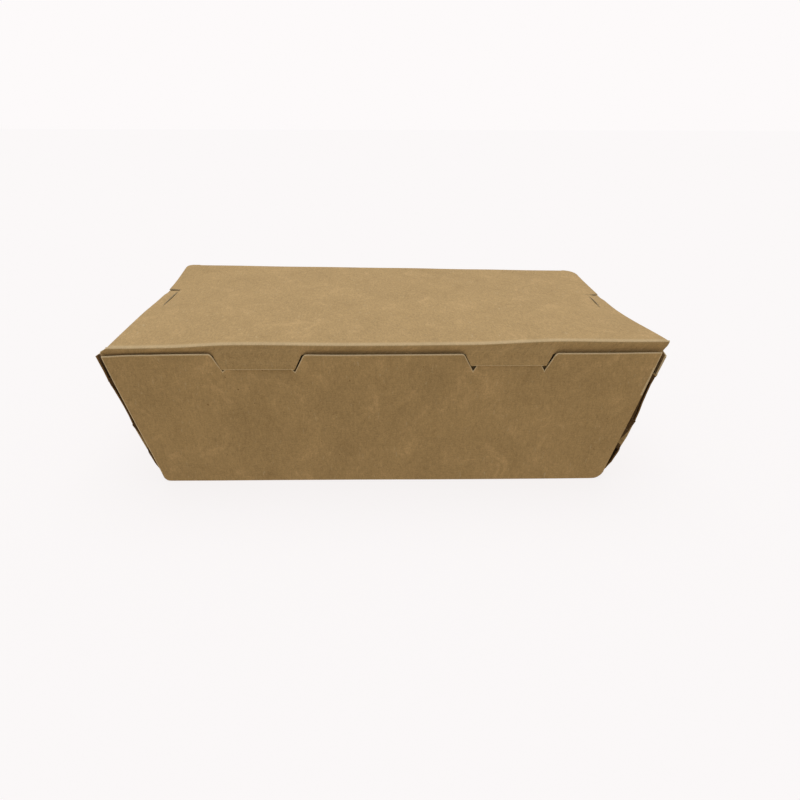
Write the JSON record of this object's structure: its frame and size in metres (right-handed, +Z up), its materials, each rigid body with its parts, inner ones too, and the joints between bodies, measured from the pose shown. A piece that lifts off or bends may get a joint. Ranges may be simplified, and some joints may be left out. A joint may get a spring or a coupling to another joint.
{
  "type": "kraft takeout box",
  "caption": "Shallow rectangular kraft board food box with flared walls and an attached fold-over lid that tucks in at the front.",
  "frame": {"origin": "middle of the base's underside, on the surface that the box stands on", "axes": "+X along the box's width, to the right as seen from the front; +Y from the front wall to the back wall that carries the lid; +Z up"},
  "size_m": [0.2, 0.1205, 0.0603],
  "materials": {
    "tray_board": "matte uncoated kraft board",
    "lid_board": "matte uncoated kraft board"
  },
  "bodies": {
    "tray": {"tray": "tray_board"},
    "lid": {"lid": "lid_board"}
  },
  "joints": [
    {"name": "lid_hinge", "type": "hinge", "parent": "tray", "child": "lid", "pos_m": [0, 0.0607, 0.06005], "axis": [-1, 0, 0], "range_deg": [0, 180]}
  ]
}
